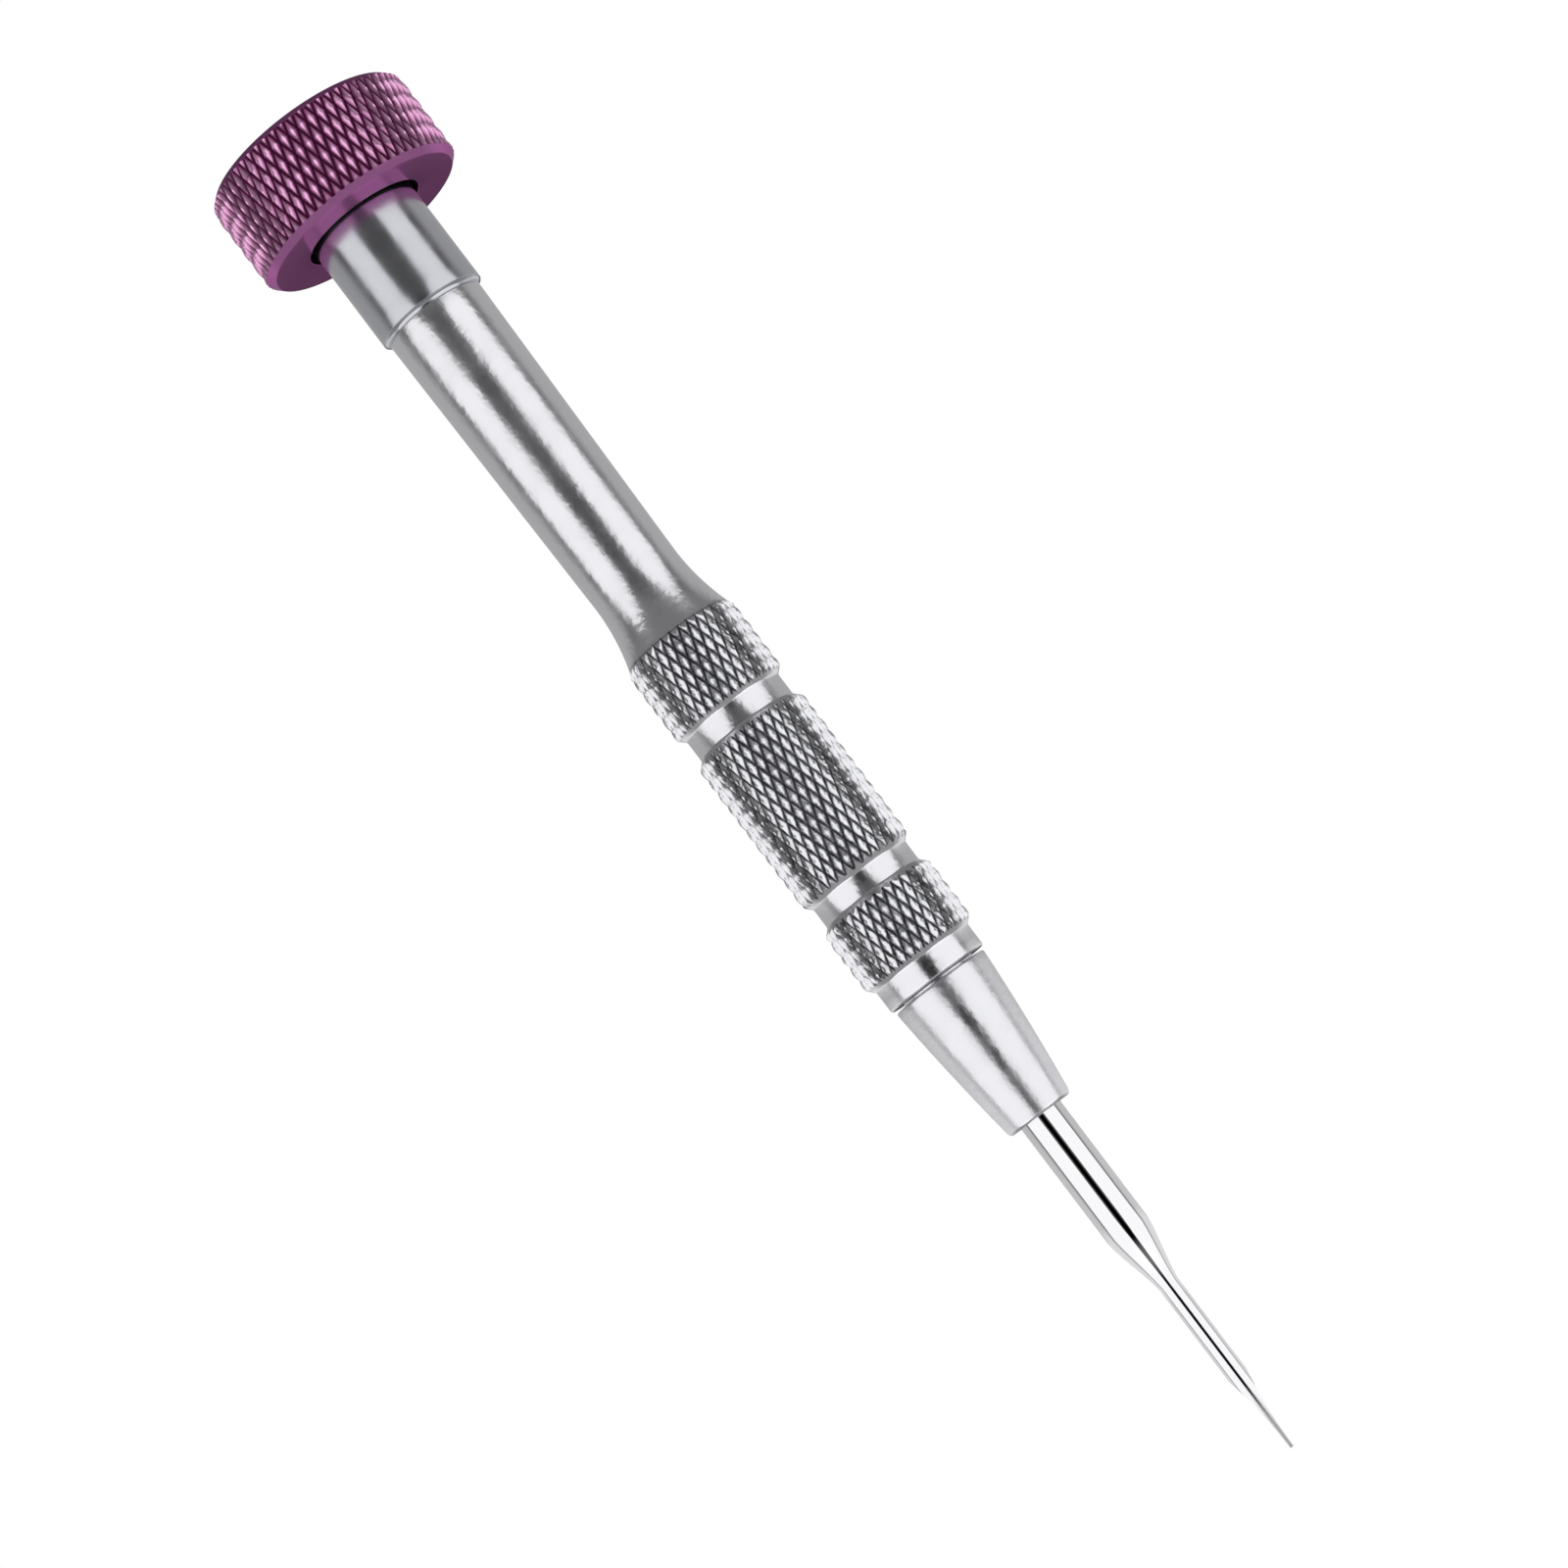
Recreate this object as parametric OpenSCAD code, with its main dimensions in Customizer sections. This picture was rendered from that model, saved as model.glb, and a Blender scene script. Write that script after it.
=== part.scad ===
// Precision watchmaker screwdriver with a free-spinning finger cap and a collet nose.
// The tool stands on its own axis: +Z runs towards the cap and the blade points down.
// The origin is on the axis, at the shoulder where the front knurl meets the smooth seat band.

/* [Handle] */
// Crest diameter of the three knurled bands
grip_d = 9.5; // [9.2:0.05:12]
// Diameter of the smooth seat band in front of the knurl
seat_d = 8.3; // [8:0.05:8.8]
// Diameter at the bottom of the two grip grooves
groove_d = 8.34; // [7:0.02:8.8]
// Length of the smooth seat band, below the origin
seat_len = 1.75; // [1.5:0.05:4]
// Length of the front knurled band, bevels included
front_knurl_len = 5.9; // [3:0.1:9]
// Flat width of the front grip groove
front_groove_w = 1.65; // [1:0.05:4]
// Length of the middle knurled band, bevels included
mid_knurl_len = 13.6; // [8:0.1:20]
// Flat width of the rear grip groove
rear_groove_w = 1.8; // [1:0.05:4]
// Length of the rear knurled band, bevels included
rear_knurl_len = 6.7; // [4:0.1:10]
// Axial length of the bevel at each end of a knurled band
knurl_bevel = 0.6; // [0.2:0.05:0.8]
// Diameter where the flare leaves the rear knurled band
flare_d = 8.9; // [8.2:0.02:9]
// Radius of the flare's hollow curve
flare_r = 18; // [8:0.5:25]
// Smallest diameter of the waist
waist_d = 7.3; // [6.5:0.05:7.8]
// Diameter of the waist where it meets the end collar
waist_top_d = 8.1; // [7.8:0.05:8.4]
// Length of the waist above the flare
waist_len = 24.85; // [15:0.05:35]

/* [End collar] */
// Diameter of the end collar
collar_d = 8.85; // [8.6:0.05:10]
// Length of collar that shows below the cap
collar_show = 8.9; // [5:0.05:12]
// Length of collar that stands inside the cap's mouth
collar_in_cap = 0.85; // [0.5:0.05:1.5]
// Axial length of the bevel at the collar's foot
collar_bevel = 0.5; // [0.2:0.05:0.8]
// Diameter of the collar's threaded stub in the handle
stub_d = 5; // [4:0.5:6]
// Length of the collar's threaded stub
stub_len = 6; // [4:0.5:9]

/* [Swivel cap] */
// Diameter of the cap over its knurl
cap_d = 17.3; // [14:0.1:22]
// Height of the cap
cap_h = 7.65; // [7.4:0.05:9]
// Bevel on the cap's two edges
cap_edge = 0.6; // [0.3:0.05:0.8]
// Radial gap between the cap's mouth and the collar
mouth_gap = 0.5; // [0.3:0.05:1]
// Diameter of the cover disc in the cap's top
disc_d = 11; // [8:0.5:12]
// Thickness of the cover disc
disc_t = 0.7; // [0.5:0.05:1]
// Depth of the cover disc's face below the cap's rim
disc_sink = 0.35; // [0.2:0.05:0.5]

/* [Bearing] */
// Bore of the ball bearing
bearing_bore = 4; // [3:0.5:4.5]
// Outside diameter of the ball bearing
bearing_od = 8; // [7.5:0.1:8.5]
// Width of the ball bearing
bearing_w = 3; // [2.5:0.1:3.5]
// Diameter of one ball
ball_d = 1.1; // [1:0.05:1.2]
// Number of balls
ball_count = 7; // [5:1:9]
// Radial height of each bearing ring
ring_t = 0.55; // [0.45:0.05:0.6]
// Thickness of the shim under the bearing
shim_t = 0.3; // [0.2:0.05:0.5]

/* [Spindle screw] */
// Thread diameter of the spindle screw
screw_d = 2; // [1.6:0.1:2.5]
// Length of the spindle screw below its head
screw_len = 5; // [4:0.5:7]
// Diameter of the screw's head
head_d = 3.6; // [3:0.1:4]
// Height of the screw's head
head_h = 1.3; // [1:0.05:1.6]
// Thickness of the washer under the head
washer_t = 0.3; // [0.2:0.05:0.4]

/* [Nose and collet] */
// Length of the nose cone
nose_len = 12.05; // [11:0.05:15]
// Diameter of the nose cone at its front face
nose_front_d = 5.4; // [5.2:0.05:6]
// Diameter of the nose cone at its back face
nose_back_d = 7.86; // [7.5:0.02:8]
// Bow of the nose cone's side away from a straight cone
nose_bow = 0.1; // [0.05:0.05:0.3]
// Gap left between the clamped nose and the handle
nose_gap = 0.25; // [0.15:0.05:0.5]
// Pitch of the nose's thread
nose_pitch = 0.5; // [0.35:0.05:0.7]
// Turns that open the nose for a blade change
nose_turns = 3; // [2:0.5:3]
// Length of the handle's threaded spigot inside the nose
spigot_len = 4.2; // [4:0.1:5]
// Wall of the threaded spigot
spigot_wall = 0.72; // [0.6:0.02:0.8]
// Wall of the collet's sleeve
collet_wall = 0.53; // [0.4:0.01:0.6]
// Length of the collet's conical jaws
jaw_len = 3.7; // [3:0.1:4.5]
// Wall of the jaws at the collet's mouth
jaw_lip = 0.25; // [0.2:0.01:0.35]
// Width of the collet's slits
slit_w = 0.3; // [0.2:0.05:0.4]
// Diameter of the pin that keys the collet
key_d = 0.8; // [0.6:0.05:1]
// Length of the collet's return spring, clamped
spring_len = 5; // [4:0.1:7]
// Wire diameter of the return spring
wire_d = 0.25; // [0.2:0.01:0.3]
// Coils in the return spring
coils = 6; // [4:1:8]

/* [Blade] */
// Diameter of the blade's shank
shank_d = 3.5; // [3:0.05:3.6]
// Length of shank that shows in front of the nose
shank_show = 10.3; // [6:0.1:16]
// Length of the neck's taper
neck_len = 4.9; // [3:0.1:8]
// Diameter of the thin rod behind the tip
rod_d = 1.6; // [1:0.05:2]
// Length of the thin rod, up to the ground faces
rod_len = 8.05; // [4:0.05:14]
// Length of the ground tip
grind_len = 6.25; // [4:0.05:8]
// Thickness of the tip's edge
tip_t = 0.3; // [0.16:0.02:0.5]
// Length of shank that reaches behind the nose cone, into the barrel
shank_tail = 8.25; // [7.5:0.05:10]
// Thread diameter of the screw that stops the blade
stop_d = 3; // [2:0.1:3.2]
// Length of the screw that stops the blade
stop_len = 4; // [3:0.5:6]

/* [Fits] */
// Radial clearance of parts that turn or slide on each other
run_fit = 0.03; // [0.02:0.005:0.05]
// Clearance of faces that pass each other
face_gap = 0.02; // [0.01:0.01:0.05]

/* [Hidden] */
$fn = 96;
cut = 1; // how far a cutting tool runs past the face that it opens
edge_break = 0.12; // small bevel that every turned edge carries
arc_steps = 12; // straight pieces in a curved profile

// Stations up the handle, from the origin at the front knurl's shoulder
z_groove_1 = front_knurl_len;
z_knurl_2 = z_groove_1 + front_groove_w;
z_groove_2 = z_knurl_2 + mid_knurl_len;
z_knurl_3 = z_groove_2 + rear_groove_w;
z_flare = z_knurl_3 + rear_knurl_len;
flare_drop = (flare_d - waist_d) / 2;
flare_len = sqrt(flare_r * flare_r - (flare_r - flare_drop) * (flare_r - flare_drop));
z_waist = z_flare + flare_len;
z_collar = z_waist + waist_len;
z_cap = z_collar + collar_show;
z_collar_top = z_cap + collar_in_cap;

// Stations inside the cap
z_bearing = z_collar_top + shim_t;
z_bearing_mid = z_bearing + bearing_w / 2;
z_bearing_top = z_bearing + bearing_w;
z_journal_top = z_bearing_top - 0.15; // short of the bearing, so the washer bears on its ring
z_cap_top = z_cap + cap_h;
z_disc = z_cap_top - disc_sink - disc_t;
cap_well_r = bearing_od / 2 - ring_t; // opening above the bearing's shoulder

// Bearing sections
pitch_r = (bearing_bore + bearing_od) / 4;
race_r = ball_d / 2 + 0.015;
inner_land_r = bearing_bore / 2 + ring_t;
outer_land_r = bearing_od / 2 - ring_t;
cage_slack = 0.12; // radial room between the cage and each ring
pocket_r = ball_d / 2 + run_fit;
pocket_mouth_r = pocket_r * 0.85; // the balls snap in past this narrower mouth
shield_t = 0.15;
shield_step = 0.2; // how far the shield's seat is cut into the outer ring
shield_in = 0.34; // depth of the shield's seat from the bearing's face
shield_ring_d = 0.14;
ring_lift = shield_ring_d / 2 + 0.01; // from a shield's face to its wire ring's middle
z_shield_low = z_bearing + shield_in - shield_t;
z_shield_high = z_bearing_top - shield_in;

// Stations of the nose, collet and blade
z_seat_face = -seat_len - edge_break;
z_nose_back = z_seat_face - nose_gap;
z_nose_front = z_nose_back - nose_len;
shank_r = shank_d / 2;
shank_chamfer = 0.3; // at the blade's back end
grip_r = shank_r + face_gap;
sleeve_r = grip_r + collet_wall;
jaw_swell = 0.33; // how far the jaws stand out from the sleeve at their widest
jaw_land = 0.25; // straight length of the jaws at their widest
jaw_r = sleeve_r + jaw_swell;
jaw_mouth_r = grip_r + jaw_lip;
z_jaw_mouth = z_nose_front + 1.5;
z_jaw_back = z_jaw_mouth + jaw_len;
z_jaw_land = z_jaw_back - jaw_land;
jaw_slope = (jaw_r - jaw_mouth_r) / (jaw_len - jaw_land);
cone_lead = 0.3; // how far the nose's inner cone runs on in front of the jaws
z_cone = z_jaw_mouth - cone_lead;
nose_hole_r = shank_r + 0.1;
nose_round = 0.35; // rounding of the nose's front edge
spigot_bore_r = sleeve_r + run_fit;
spigot_r = spigot_bore_r + spigot_wall;
z_spigot = z_seat_face - spigot_len;
nose_travel = nose_pitch * nose_turns;
z_thread = z_spigot - nose_gap;
z_collet_end = z_seat_face + 0.9; // the collet's tail stands this far inside the handle
z_spring_end = z_collet_end + spring_len;
z_key = z_spigot + 1.9;
key_play = 0.05; // room round the key pin in the collet's slot
z_slit_end = z_key - key_d - 1.1;
z_blade_end = z_nose_back + shank_tail;
tail_bore_r = shank_r + 0.05;
stop_gap = 0.3; // how far the stop screw stands into the tail bore
stop_chamfer = 0.25;
z_stop = z_blade_end + face_gap;
z_stop_end = z_stop + stop_len;
drill_past = 1; // drilling beyond the end of each threaded hole
z_neck = z_nose_front - shank_show;
z_rod = z_neck - neck_len;
z_grind = z_rod - rod_len;
z_tip = z_grind - grind_len;

// Points along an arc about a centre, as [radius, height], between two angles
function arc(centre, r, from, to) =
    [for (i = [0 : arc_steps]) let (a = from + (to - from) * i / arc_steps)
        [centre[0] + r * cos(a), centre[1] + r * sin(a)]];

// Radius of the flare at a height above its start
function flare_at(h) = waist_d / 2 + flare_r - sqrt(flare_r * flare_r - (flare_len - h) * (flare_len - h));

// Radius of the nose cone's side at a share of its length, from front to back
function nose_at(t) = (nose_front_d + (nose_back_d - nose_front_d) * t) / 2 + 4 * nose_bow * t * (1 - t);

// A ring turned about the axis
module ring(r_in, r_out, h) {
    rotate_extrude() translate([r_in, 0]) square([r_out - r_in, h]);
}

// A stepped knurled band's outline, bevelled at both ends
function band_points(z0, z1, foot_0, foot_1) =
    [[foot_0, z0], [grip_d / 2, z0 + knurl_bevel], [grip_d / 2, z1 - knurl_bevel], [foot_1, z1]];

module handle_barrel() {
    groove_r = groove_d / 2;
    seat_r = seat_d / 2;
    outline = concat(
        [[0, z_spigot], [spigot_r - edge_break, z_spigot], [spigot_r, z_spigot + edge_break],
            [spigot_r, z_seat_face], [seat_r - edge_break, z_seat_face], [seat_r, -seat_len]],
        band_points(0, z_groove_1, seat_r, groove_r),
        band_points(z_knurl_2, z_groove_2, groove_r, groove_r),
        band_points(z_knurl_3, z_flare, groove_r, flare_d / 2),
        [for (i = [1 : arc_steps]) let (h = flare_len * i / arc_steps) [flare_at(h), z_flare + h]],
        [[waist_top_d / 2, z_collar], [0, z_collar]]);
    color("silver") difference() {
        rotate_extrude() polygon(outline);
        translate([0, 0, z_spigot - cut])
            cylinder(r = spigot_bore_r, h = z_spring_end - z_spigot + cut);
        translate([0, 0, z_spring_end - cut])
            cylinder(r = tail_bore_r, h = z_stop + stop_gap - z_spring_end + cut);
        cylinder(r = stop_d / 2 + face_gap, h = z_stop_end + drill_past);
        translate([0, 0, z_collar - stub_len - drill_past])
            cylinder(r = stub_d / 2 + face_gap, h = stub_len + drill_past + cut);
        translate([0, 0, z_key]) rotate([0, 90, 0])
            cylinder(d = key_d + 2 * face_gap, h = spigot_r + cut);
    }
}

module end_collar() {
    r = collar_d / 2;
    stub_r = stub_d / 2;
    stub_chamfer = 0.3;
    screw_room = 0.3; // drilling below the spindle screw's end
    journal_r = bearing_bore / 2 - face_gap;
    color("gray") difference() {
        rotate_extrude() polygon([
            [0, z_collar - stub_len], [stub_r - stub_chamfer, z_collar - stub_len],
            [stub_r, z_collar - stub_len + stub_chamfer], [stub_r, z_collar],
            [waist_top_d / 2, z_collar],
            [r, z_collar + collar_bevel], [r, z_collar_top - edge_break],
            [r - edge_break, z_collar_top], [journal_r, z_collar_top],
            [journal_r, z_journal_top], [0, z_journal_top]]);
        translate([0, 0, z_bearing_top + washer_t - screw_len - screw_room])
            cylinder(r = screw_d / 2 + face_gap, h = screw_len + cut);
    }
}

module bearing_shim() {
    color("lightgray") translate([0, 0, z_collar_top])
        ring(bearing_bore / 2, inner_land_r - face_gap, shim_t);
}

// A bearing ring's section, with its race cut by a torus
module race() {
    translate([0, 0, z_bearing_mid]) rotate_extrude() translate([pitch_r, 0]) circle(r = race_r);
}

module bearing_inner_ring() {
    color("gainsboro") difference() {
        translate([0, 0, z_bearing]) ring(bearing_bore / 2, inner_land_r, bearing_w);
        race();
    }
}

module bearing_outer_ring() {
    seat_r = outer_land_r + shield_step;
    color("gainsboro") difference() {
        translate([0, 0, z_bearing]) ring(outer_land_r, bearing_od / 2, bearing_w);
        race();
        for (z = [z_bearing - cut, z_bearing_top - shield_in])
            translate([0, 0, z]) cylinder(r = seat_r, h = shield_in + cut);
    }
}

module bearing_balls() {
    color("white") for (i = [0 : ball_count - 1])
        rotate([0, 0, i * 360 / ball_count])
            translate([pitch_r, 0, z_bearing_mid]) sphere(d = ball_d, $fn = 32);
}

module bearing_cage() {
    low = -0.4; // the pockets are open below this height
    high = pocket_r + 0.25; // the cage's closed back
    r_in = inner_land_r + cage_slack;
    r_out = outer_land_r - cage_slack;
    color("tan") difference() {
        translate([0, 0, z_bearing_mid + low]) ring(r_in, r_out, high - low);
        for (i = [0 : ball_count - 1])
            rotate([0, 0, i * 360 / ball_count])
                translate([pitch_r, 0, z_bearing_mid]) {
                    sphere(r = pocket_r, $fn = 32);
                    translate([0, 0, -cut]) cylinder(r = pocket_mouth_r, h = cut);
                }
    }
}

// One pressed shield, in the seat at either face of the bearing
module shield(z) {
    color("silver") translate([0, 0, z])
        ring(inner_land_r + 2 * run_fit, outer_land_r + shield_step - face_gap, shield_t);
}

// One open wire ring that holds a shield in its seat
module shield_ring(z) {
    wire_r = shield_ring_d / 2;
    gap = 30; // angle left open between the ring's ends
    color("dimgray") translate([0, 0, z]) rotate([0, 0, gap / 2]) rotate_extrude(angle = 360 - gap)
        translate([outer_land_r + shield_step - wire_r - face_gap, 0]) circle(r = wire_r, $fn = 24);
}

module shield_upper() {
    shield(z_shield_high);
}

module shield_lower() {
    shield(z_shield_low);
}

module shield_ring_upper() {
    shield_ring(z_shield_high + shield_t + ring_lift);
}

module shield_ring_lower() {
    shield_ring(z_shield_low - ring_lift);
}

module spindle_washer() {
    play = 0.1; // round the screw
    overlap = 0.5; // over the bearing's inner ring
    color("lightgray") translate([0, 0, z_bearing_top])
        ring(screw_d / 2 + play, bearing_bore / 2 + overlap, washer_t);
}

module spindle_screw() {
    z_head = z_bearing_top + washer_t;
    z_end = z_head - screw_len;
    chamfer = 0.2;
    crown = 0.45; // height of the head's domed edge
    slot_w = 0.5;
    slot_h = 0.6;
    color("darkgray") difference() {
        rotate_extrude() polygon(concat(
            [[0, z_end], [screw_d / 2 - chamfer, z_end], [screw_d / 2, z_end + chamfer],
                [screw_d / 2, z_head], [head_d / 2, z_head]],
            arc([head_d / 2 - crown, z_head + head_h - crown], crown, 0, 90),
            [[0, z_head + head_h]]));
        translate([-head_d, -slot_w / 2, z_head + head_h - slot_h])
            cube([2 * head_d, slot_w, slot_h + cut]);
    }
}

module swivel_cap() {
    r = cap_d / 2;
    disc_r = disc_d / 2;
    color("purple") difference() {
        rotate_extrude() polygon([
            [0, z_cap], [r - cap_edge, z_cap], [r, z_cap + cap_edge], [r, z_cap_top - cap_edge],
            [r - cap_edge, z_cap_top], [0, z_cap_top]]);
        translate([0, 0, z_cap - cut])
            cylinder(r = collar_d / 2 + mouth_gap, h = z_bearing - z_cap + cut);
        translate([0, 0, z_bearing - cut]) cylinder(d = bearing_od, h = bearing_w + cut);
        translate([0, 0, z_bearing_top - cut])
            cylinder(r = cap_well_r, h = z_disc - z_bearing_top + 2 * cut);
        translate([0, 0, z_disc]) cylinder(r = disc_r, h = cap_h);
    }
}

module cap_disc() {
    r = disc_d / 2;
    color("plum") translate([0, 0, z_disc]) rotate_extrude() polygon([
        [0, 0], [r, 0], [r, disc_t - edge_break], [r - edge_break, disc_t], [0, disc_t]]);
}

module nose_cone() {
    t_edge = nose_round / nose_len;
    bore_r = spigot_r + run_fit;
    cone_r = jaw_mouth_r - cone_lead * jaw_slope + run_fit;
    rest_r = jaw_r + run_fit;
    color("silver") difference() {
        rotate_extrude() polygon(concat(
            [[0, z_nose_front]],
            arc([nose_at(t_edge) - nose_round, z_nose_front + nose_round], nose_round, -90, 0),
            [for (i = [1 : arc_steps - 1]) let (t = i / arc_steps)
                [nose_at(t), z_nose_front + nose_len * t]],
            [[nose_at(1), z_nose_back - edge_break], [nose_at(1) - edge_break, z_nose_back],
                [0, z_nose_back]]));
        translate([0, 0, z_nose_front - cut]) cylinder(r = nose_hole_r, h = nose_len);
        translate([0, 0, z_cone]) cylinder(r1 = cone_r, r2 = rest_r, h = z_jaw_land - z_cone);
        translate([0, 0, z_jaw_land - face_gap])
            cylinder(r = rest_r, h = z_thread - z_jaw_land + cut);
        translate([0, 0, z_thread]) cylinder(r = bore_r, h = nose_len);
    }
}

module collet() {
    slot_w = key_d + 2 * key_play;
    slot_len = nose_travel + slot_w;
    color("goldenrod") difference() {
        rotate_extrude() polygon([
            [grip_r, z_jaw_mouth], [jaw_mouth_r, z_jaw_mouth], [jaw_r, z_jaw_land],
            [jaw_r, z_jaw_back], [sleeve_r, z_jaw_back + jaw_swell], [sleeve_r, z_collet_end],
            [grip_r, z_collet_end]]);
        for (i = [0 : 2]) rotate([0, 0, 60 + i * 120])
            translate([0, -slit_w / 2, z_jaw_mouth - cut])
                cube([jaw_r + cut, slit_w, z_slit_end - z_jaw_mouth + cut]);
        translate([0, -slot_w / 2, z_key - slot_w / 2])
            cube([sleeve_r + cut, slot_w, slot_len]);
    }
}

module collet_key_pin() {
    inner = shank_r + 0.1; // clear of the blade
    outer = spigot_r - 0.05; // below the thread
    color("dimgray") translate([inner, 0, z_key]) rotate([0, 90, 0])
        cylinder(d = key_d, h = outer - inner);
}

// A coil swept along its helix, with the last turn at each end closed flat
module collet_spring() {
    sides = 6;
    per_turn = 18;
    wire_r = wire_d / 2;
    coil_r = (spigot_bore_r + grip_r) / 2 + 0.05;
    low = z_collet_end + wire_r + face_gap;
    high = z_spring_end - wire_r - face_gap;
    closed = wire_d * 1.08; // rise of each closed end turn
    steps = coils * per_turn;
    inner_turns = coils - 2;
    function lift(turn) = turn < 1 ? closed * turn
        : turn > coils - 1 ? high - low - closed * (coils - turn)
        : closed + (high - low - 2 * closed) * (turn - 1) / inner_turns;
    points = [for (i = [0 : steps]) for (k = [0 : sides - 1])
        let (turn = i / per_turn, a = 360 * turn, b = 360 * k / sides,
            r = coil_r + wire_r * cos(b))
        [r * cos(a), r * sin(a), low + lift(turn) + wire_r * sin(b)]];
    walls = [for (i = [0 : steps - 1]) for (k = [0 : sides - 1])
        let (n = (k + 1) % sides) [i * sides + k, i * sides + n, (i + 1) * sides + n, (i + 1) * sides + k]];
    start = [for (k = [0 : sides - 1]) sides - 1 - k];
    end = [for (k = [0 : sides - 1]) steps * sides + k];
    color("lightsteelblue") polyhedron(points = points, faces = concat([start], walls, [end]));
}

// Radius of the blade's neck at a share of its length: a cone whose two ends are eased
function neck_at(t) = (shank_d + (rod_d - shank_d) * (0.6 * t + 0.4 * (3 * t * t - 2 * t * t * t))) / 2;

module blade() {
    grind_r = (grind_len * grind_len + pow((rod_d - tip_t) / 2, 2)) / (rod_d - tip_t);
    color("whitesmoke") difference() {
        rotate_extrude() polygon(concat(
            [[0, z_tip], [rod_d / 2, z_tip], [rod_d / 2, z_rod]],
            [for (i = [1 : arc_steps]) let (t = 1 - i / arc_steps) [neck_at(t), z_neck - neck_len * t]],
            [[shank_r, z_blade_end - shank_chamfer], [shank_r - shank_chamfer, z_blade_end],
                [0, z_blade_end]]));
        for (side = [-1, 1])
            translate([side * (grind_r + tip_t / 2), 0, z_tip]) rotate([90, 0, 0])
                cylinder(r = grind_r, h = 2 * rod_d, center = true, $fn = 360);
    }
}

module blade_stop_screw() {
    r = stop_d / 2;
    socket_af = 1.5; // across the flats of the hexagon socket
    socket_h = 1.4;
    color("dimgray") difference() {
        rotate_extrude() polygon([
            [0, z_stop], [r - stop_chamfer, z_stop], [r, z_stop + stop_chamfer],
            [r, z_stop_end - stop_chamfer], [r - stop_chamfer, z_stop_end], [0, z_stop_end]]);
        translate([0, 0, z_stop - cut])
            cylinder(d = socket_af / cos(30), h = socket_h + cut, $fn = 6);
    }
}

handle_barrel();
end_collar();
bearing_shim();
bearing_inner_ring();
bearing_outer_ring();
bearing_balls();
bearing_cage();
shield_upper();
shield_lower();
shield_ring_upper();
shield_ring_lower();
spindle_washer();
spindle_screw();
swivel_cap();
cap_disc();
nose_cone();
collet();
collet_key_pin();
collet_spring();
blade();
blade_stop_screw();
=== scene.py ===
import math

import bpy
from bpy.props import FloatProperty, FloatVectorProperty, IntProperty, PointerProperty
from mathutils import Matrix, Vector


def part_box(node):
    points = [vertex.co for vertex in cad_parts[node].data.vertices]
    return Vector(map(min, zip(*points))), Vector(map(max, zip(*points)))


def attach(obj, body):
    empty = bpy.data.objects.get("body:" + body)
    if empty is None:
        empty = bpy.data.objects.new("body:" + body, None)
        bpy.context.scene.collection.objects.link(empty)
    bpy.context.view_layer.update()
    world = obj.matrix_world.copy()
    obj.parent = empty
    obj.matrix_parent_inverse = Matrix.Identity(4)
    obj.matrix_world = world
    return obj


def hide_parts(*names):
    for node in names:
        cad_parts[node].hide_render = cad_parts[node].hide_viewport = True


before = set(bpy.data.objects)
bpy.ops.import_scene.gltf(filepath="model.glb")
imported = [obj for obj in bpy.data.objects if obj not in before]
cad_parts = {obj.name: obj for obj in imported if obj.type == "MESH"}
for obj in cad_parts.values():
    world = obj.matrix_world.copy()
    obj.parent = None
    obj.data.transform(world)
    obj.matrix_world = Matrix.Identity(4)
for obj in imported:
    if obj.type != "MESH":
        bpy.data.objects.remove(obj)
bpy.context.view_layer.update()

bl_info = {
    "name": "Watchmaker screwdriver",
    "version": (1, 0, 0),
    "blender": (4, 5, 0),
    "location": "3D View > Sidebar > Screwdriver",
    "description": "Builds the visible pieces of a watchmaker screwdriver round its CAD frame",
    "category": "Add Mesh",
}

MM = 0.001
MICRON = 0.000001
EDGE = 0.06 * MM  # how much a turned edge is rounded
BREAK = 0.12 * MM  # a corner that the lathe tool has broken
CHAMFER = 0.3 * MM  # a lead-in at the end of a stub, shank or bore
PROUD = 0.015 * MM  # how far a knurl's points stand out before the turned blank trims them
AROUND = 144  # facets round a turned piece: four to each knurl start of the handle
LONGEST = 1.2 * MM  # longest piece of an outline
SMOOTH_ANGLE = math.radians(35)
TOOL_FEED = 0.15 * MM  # drawn coarser than a finishing cut's rings, which are too fine to show
SCUFF = 2.5 * MM  # size of the duller patches
DRAWN_OUT = 19 * MM  # a little more than the blade's travel


def linear(code):
    """An sRGB hex colour as linear red, green and blue."""
    parts = [int(code[i : i + 2], 16) / 255 for i in (1, 3, 5)]
    return tuple(c / 12.92 if c <= 0.04045 else ((c + 0.055) / 1.055) ** 2.4 for c in parts)


def length(title, about, mm):
    """A size that a user can change, held in metres."""
    return FloatProperty(name=title, description=about, default=mm * MM, unit="LENGTH", precision=5)


def colour(title, about, code):
    """A colour that a user can change."""
    return FloatVectorProperty(
        name=title, description=about, default=linear(code), subtype="COLOR", size=3, min=0, max=1
    )


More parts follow.
